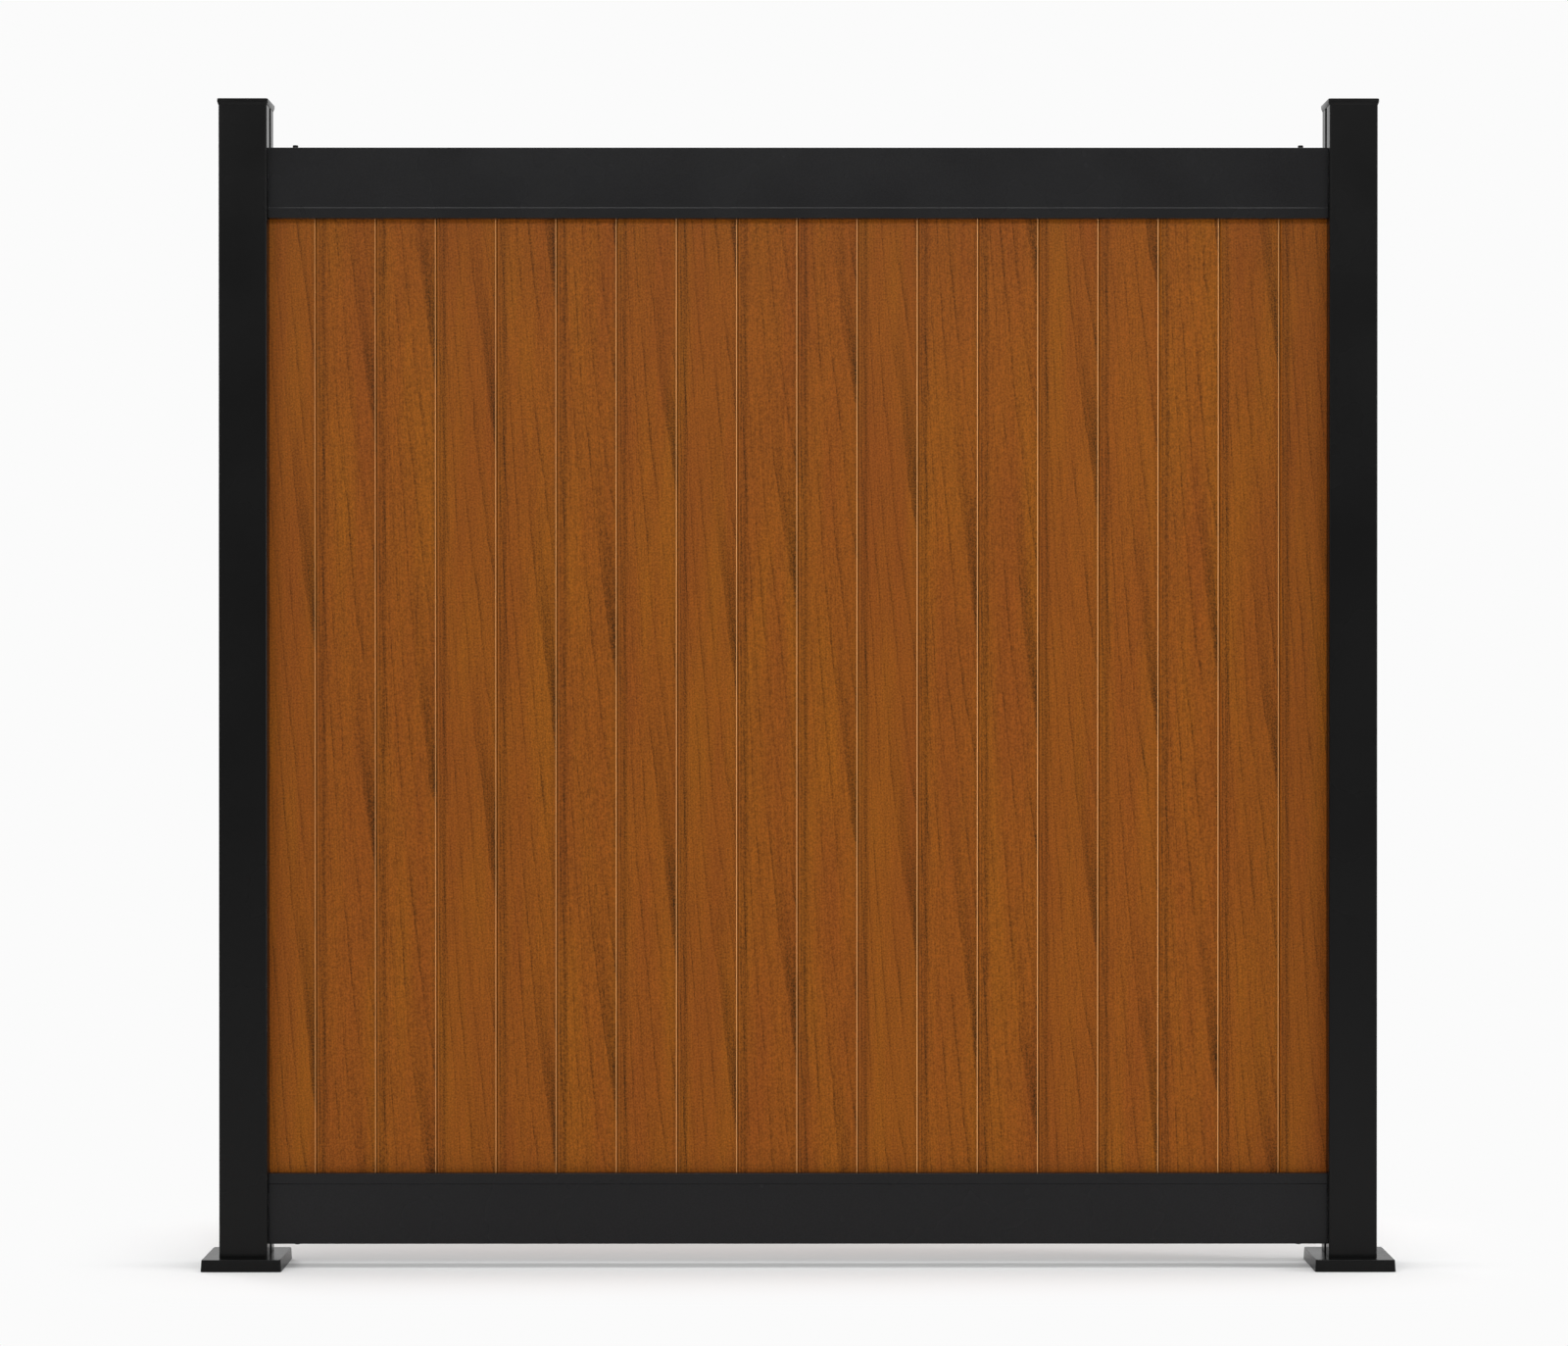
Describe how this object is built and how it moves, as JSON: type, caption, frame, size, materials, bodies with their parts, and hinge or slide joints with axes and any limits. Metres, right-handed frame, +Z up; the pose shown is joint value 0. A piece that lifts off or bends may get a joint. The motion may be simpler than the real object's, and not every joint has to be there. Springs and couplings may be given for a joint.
{
  "type": "aluminium fence panel",
  "caption": "Privacy fence panel: black slotted posts with caps and base covers, pocket rails, and upright tongue-and-groove wood-grain aluminium boards.",
  "frame": {"origin": "on the ground, midway between the two posts", "axes": "+X along the fence to the right seen from the front, +Y through the panel to its back, +Z up"},
  "size_m": [1.85, 0.125, 1.82],
  "materials": {
    "black_powder_coat": "satin",
    "wood_grain_coat": "satin",
    "mill_aluminium": "satin",
    "black_steel": "satin",
    "stainless_steel": "satin"
  },
  "bodies": {
    "root": {"left_post": "black_powder_coat", "right_post": "black_powder_coat", "left_post_cap": "black_powder_coat", "right_post_cap": "black_powder_coat", "left_base_plate": "mill_aluminium", "right_base_plate": "mill_aluminium", "left_base_cover": "black_powder_coat", "right_base_cover": "black_powder_coat", "bottom_rail": "black_powder_coat", "top_rail": "black_powder_coat", "bottom_left_bracket": "mill_aluminium", "bottom_right_bracket": "mill_aluminium", "top_left_bracket": "mill_aluminium", "top_right_bracket": "mill_aluminium", "board_01": "wood_grain_coat", "board_02": "wood_grain_coat", "board_03": "wood_grain_coat", "board_04": "wood_grain_coat", "board_05": "wood_grain_coat", "board_06": "wood_grain_coat", "board_07": "wood_grain_coat", "board_08": "wood_grain_coat", "board_09": "wood_grain_coat", "board_10": "wood_grain_coat", "board_11": "wood_grain_coat", "board_12": "wood_grain_coat", "board_13": "wood_grain_coat", "board_14": "wood_grain_coat", "board_15": "wood_grain_coat", "board_16": "wood_grain_coat", "board_17": "wood_grain_coat", "board_18": "wood_grain_coat", "rail_screws": "black_steel", "bracket_screws": "stainless_steel"}
  },
  "joints": []
}
